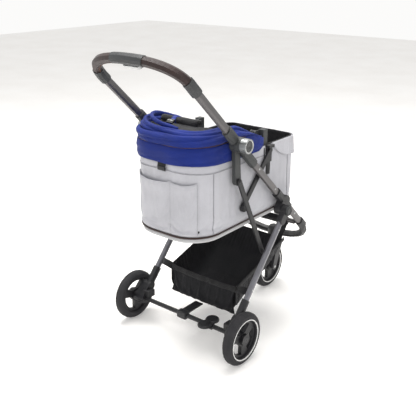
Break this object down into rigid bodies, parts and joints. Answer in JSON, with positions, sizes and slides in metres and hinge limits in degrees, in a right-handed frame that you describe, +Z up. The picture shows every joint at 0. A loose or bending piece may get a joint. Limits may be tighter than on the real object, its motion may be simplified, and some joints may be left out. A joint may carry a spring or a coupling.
{
  "type": "pet stroller",
  "caption": "Folding pet stroller: lift-off fabric carrier bag with a folded canopy, rear legs, a swivelling front caster, a looped leather-gripped handle and a fabric basket.",
  "frame": {"origin": "on the ground, under the middle of the whole object's box", "axes": "+Z is up. The object is pushed toward -Y, and the handle is on the +Y side. +X is the pusher's left-hand side"},
  "size_m": [0.5218, 0.8408, 1.0041],
  "materials": {
    "gunmetal_tube": "satin metallic paint",
    "leg_tube": "satin metallic paint",
    "dark_grey_plastic": "fine moulded texture",
    "black_plastic": "moulded, satin",
    "hub_cap_metal": "metallic grey paint round a dark textured disc",
    "axle_steel": "black coated steel",
    "lever_metal": "satin",
    "fork_plastic": "moulded, satin",
    "brown_leather": "grained, with stitched edges",
    "tyre_rubber": "matt",
    "light_grey_fabric": "plain weave",
    "blue_fabric": "close weave with a slight sheen",
    "black_fabric": "woven",
    "bag_base_fabric": "woven, with dark brown piping"
  },
  "bodies": {
    "frame": {"main_tube_left": "gunmetal_tube", "main_tube_right": "gunmetal_tube", "frame_hub_left": "dark_grey_plastic", "frame_hub_right": "dark_grey_plastic", "hub_cap_left": "hub_cap_metal", "hub_cap_right": "hub_cap_metal", "leg_housing_left": "black_plastic", "leg_housing_right": "black_plastic", "leg_pin_left": "dark_grey_plastic", "leg_pin_right": "dark_grey_plastic", "bag_stay_left": "black_plastic", "bag_stay_right": "black_plastic", "front_yoke": "black_plastic", "front_crossbar": "gunmetal_tube", "shopping_basket": "black_fabric"},
    "handle": {"handle_core": "gunmetal_tube", "grip_left": "brown_leather", "grip_right": "brown_leather", "centre_grip": "dark_grey_plastic", "handle_tube_left": "gunmetal_tube", "handle_tube_right": "gunmetal_tube", "grip_collar_left": "dark_grey_plastic", "grip_collar_right": "dark_grey_plastic", "handle_hub_left": "dark_grey_plastic", "handle_hub_right": "dark_grey_plastic"},
    "release_lever": {"release_lever": "lever_metal"},
    "link_left": {"link_bar_left": "black_plastic"},
    "link_right": {"link_bar_right": "black_plastic"},
    "rear_legs": {"rear_leg_left": "leg_tube", "rear_leg_right": "leg_tube", "leg_knuckle_left": "black_plastic", "leg_knuckle_right": "black_plastic", "rear_foot_left": "black_plastic", "rear_foot_right": "black_plastic", "rear_axle": "axle_steel", "basket_strap": "black_plastic"},
    "wheel_rear_left": {"rim_rear_left": "black_plastic", "tyre_rear_left": "tyre_rubber"},
    "wheel_rear_right": {"rim_rear_right": "black_plastic", "tyre_rear_right": "tyre_rubber"},
    "brake_pedal": {"brake_pedal": "black_plastic"},
    "caster": {"front_fork": "fork_plastic", "front_axle_pin": "lever_metal"},
    "front_wheel": {"rim_front": "black_plastic", "tyre_front": "tyre_rubber"},
    "bag": {"bag_base": "bag_base_fabric", "bag_shell": "light_grey_fabric", "bag_cushion": "black_fabric", "rear_pocket": "light_grey_fabric", "front_cuff": "light_grey_fabric", "bag_plug_left": "black_plastic", "bag_plug_right": "black_plastic", "canopy_band": "blue_fabric", "canopy_roll": "blue_fabric", "canopy_hinge_left": "dark_grey_plastic", "canopy_hinge_right": "dark_grey_plastic"},
    "canopy_rear_bow": {"canopy_bow_rear": "black_plastic"},
    "canopy_front_bow": {"canopy_bow_front": "black_plastic", "window_roll": "black_fabric"}
  },
  "joints": [
    {"name": "handle_fold", "type": "hinge", "parent": "frame", "child": "handle", "pos_m": [0, 0.13264, 0.72], "axis": [1, 0, 0], "range_deg": [0, 95]},
    {"name": "leg_fold", "type": "hinge", "parent": "frame", "child": "rear_legs", "pos_m": [0, -0.1203, 0.43611], "axis": [1, 0, 0], "range_deg": [0, 71.6]},
    {"name": "link_left_fold", "type": "hinge", "parent": "handle", "child": "link_left", "pos_m": [0.178, 0.12564, 0.6], "axis": [1, 0, 0], "range_deg": [-114.4, 0]},
    {"name": "link_right_fold", "type": "hinge", "parent": "handle", "child": "link_right", "pos_m": [-0.178, 0.12564, 0.6], "axis": [1, 0, 0], "range_deg": [-114.4, 0]},
    {"name": "bag_lift", "type": "slide", "parent": "frame", "child": "bag", "axis": [0, 0, 1], "range_m": [0, 0.199]},
    {"name": "wheel_rear_left_spin", "type": "hinge", "parent": "rear_legs", "child": "wheel_rear_left", "pos_m": [0.2429, 0.18264, 0.09], "axis": [1, 0, 0], "continuous": true},
    {"name": "wheel_rear_right_spin", "type": "hinge", "parent": "rear_legs", "child": "wheel_rear_right", "pos_m": [-0.2429, 0.18264, 0.09], "axis": [1, 0, 0], "continuous": true},
    {"name": "brake_pedal_rock", "type": "hinge", "parent": "rear_legs", "child": "brake_pedal", "pos_m": [-0.105, 0.18264, 0.09], "axis": [1, 0, 0], "range_deg": [-12, 12]},
    {"name": "caster_swivel", "type": "hinge", "parent": "frame", "child": "caster", "pos_m": [0, -0.36536, 0.207], "axis": [0, 0, 1], "continuous": true},
    {"name": "front_wheel_spin", "type": "hinge", "parent": "caster", "child": "front_wheel", "pos_m": [0, -0.33036, 0.09], "axis": [1, 0, 0], "continuous": true},
    {"name": "release_lever_squeeze", "type": "slide", "parent": "handle", "child": "release_lever", "axis": [0, 0.673, 0.7396], "range_m": [0, 0.005], "stiffness_N_per_m": 300, "springref_m": -0.005},
    {"name": "canopy_rear_bow_open", "type": "hinge", "parent": "bag", "child": "canopy_rear_bow", "pos_m": [0, -0.03936, 0.712], "axis": [1, 0, 0], "range_deg": [0, 55]},
    {"name": "canopy_front_bow_open", "type": "hinge", "parent": "canopy_rear_bow", "child": "canopy_front_bow", "pos_m": [0, -0.03936, 0.712], "axis": [1, 0, 0], "range_deg": [0, 55]}
  ],
  "couplings": [
    {"joint": "leg_fold", "follows": "handle_fold", "ratio": 0.7516},
    {"joint": "link_left_fold", "follows": "handle_fold", "ratio": -1.2021},
    {"joint": "link_right_fold", "follows": "handle_fold", "ratio": -1.2021},
    {"joint": "bag_lift", "follows": "handle_fold", "m_per_rad": 0.12},
    {"joint": "canopy_front_bow_open", "follows": "canopy_rear_bow_open", "ratio": 1}
  ]
}
